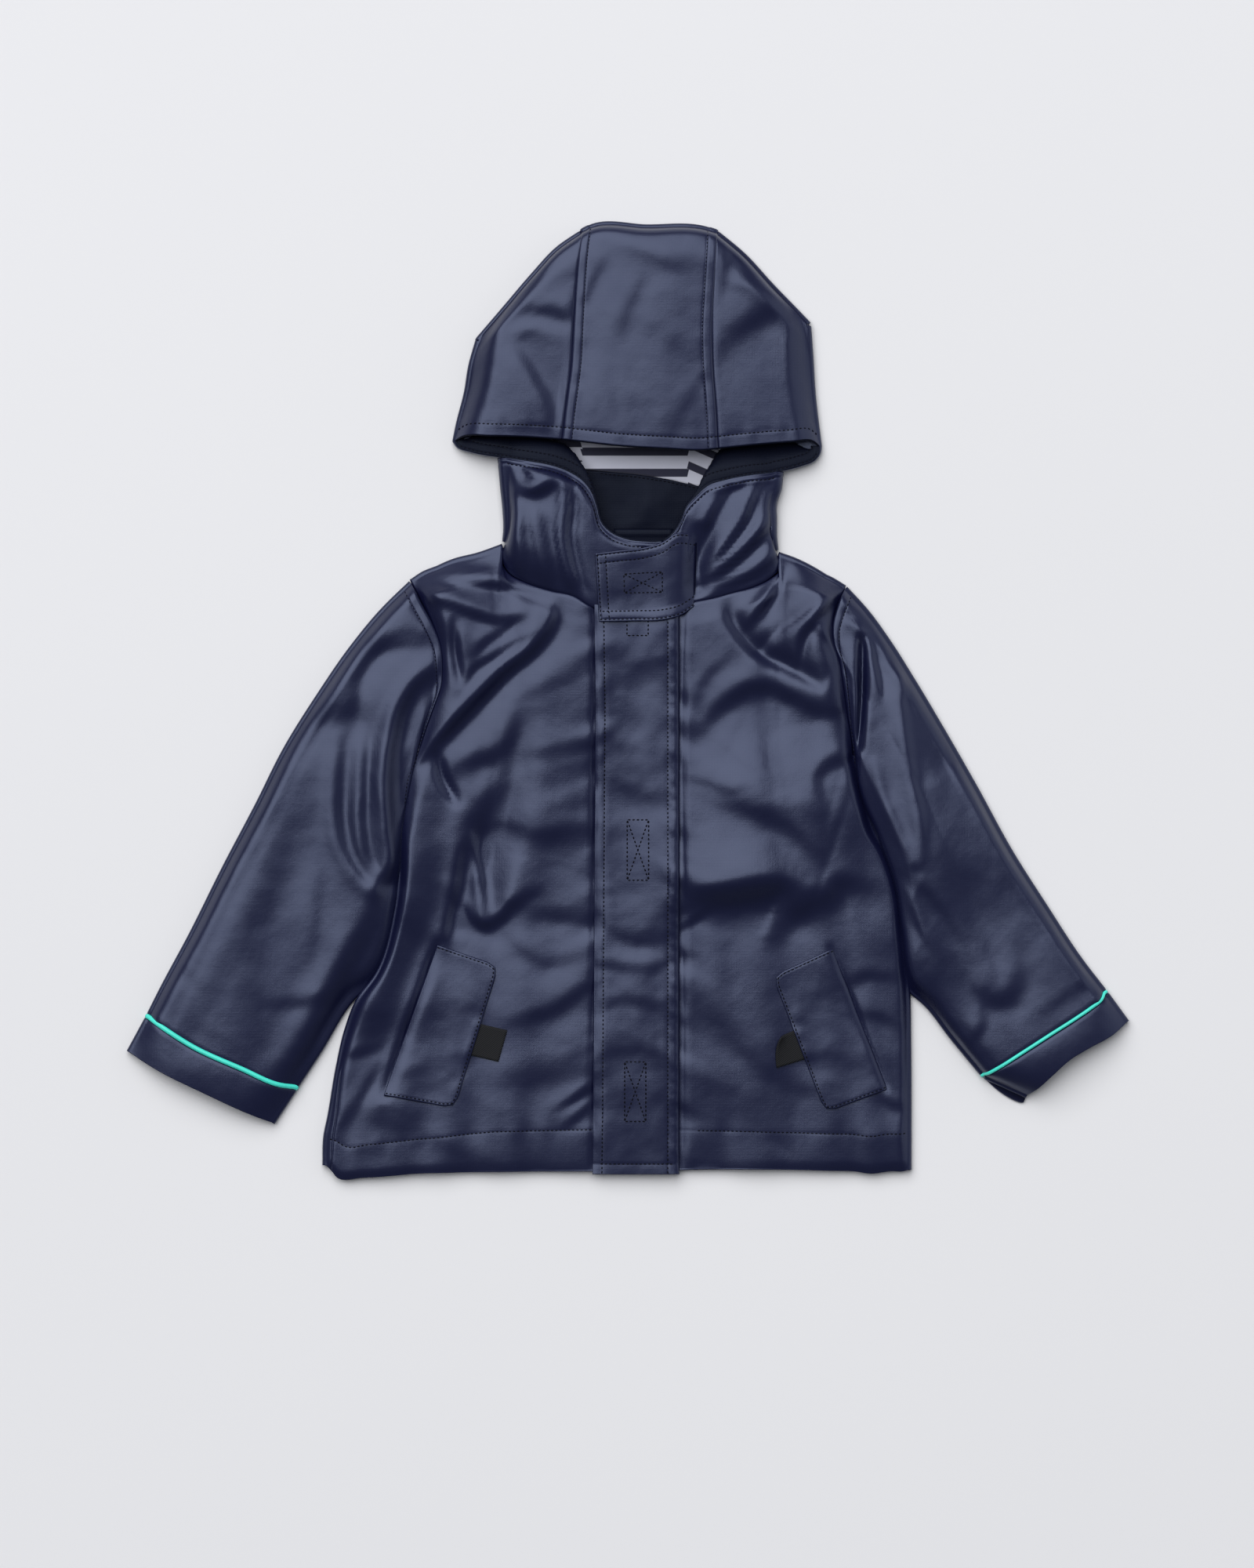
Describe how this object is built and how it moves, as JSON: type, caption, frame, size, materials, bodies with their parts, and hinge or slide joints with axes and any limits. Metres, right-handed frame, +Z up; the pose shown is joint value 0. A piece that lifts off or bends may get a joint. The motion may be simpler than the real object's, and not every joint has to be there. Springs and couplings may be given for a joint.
{
  "type": "kids raincoat",
  "caption": "Navy coated child's raincoat with hood, storm flap, slanted pocket flaps and green-piped cuffs, laid flat.",
  "frame": {"origin": "on the surface the coat lies on, under the middle of its plan box", "axes": "+X to the right seen from above with the hood away from the viewer, +Y from the hem to the hood, +Z up out of the front of the coat"},
  "size_m": [0.6394, 0.6095, 0.0252],
  "materials": {
    "coated_cloth": "satin polyurethane coating on a knit backing",
    "cloth_facing": "matt coated cloth",
    "piping_cord": "smooth mint green piping",
    "striped_jersey": "soft single jersey, white with navy stripes",
    "twill_tape": "black twill tape",
    "sewing_thread": "navy sewing thread"
  },
  "bodies": {
    "root": {"back_panel": "coated_cloth", "front_left": "coated_cloth", "front_right": "coated_cloth", "sleeve_left": "coated_cloth", "sleeve_right": "coated_cloth", "cuff_left": "coated_cloth", "cuff_right": "coated_cloth", "cuff_piping_left": "piping_cord", "cuff_piping_right": "piping_cord", "hood_centre": "coated_cloth", "hood_side_left": "coated_cloth", "hood_side_right": "coated_cloth", "hood_lining": "striped_jersey", "back_neck_facing": "cloth_facing", "zip_guard": "coated_cloth", "storm_flap": "coated_cloth", "neck_tab": "coated_cloth", "pocket_flap_left": "coated_cloth", "pocket_flap_right": "coated_cloth", "pull_tab_left": "twill_tape", "pull_tab_right": "twill_tape"}
  },
  "joints": []
}
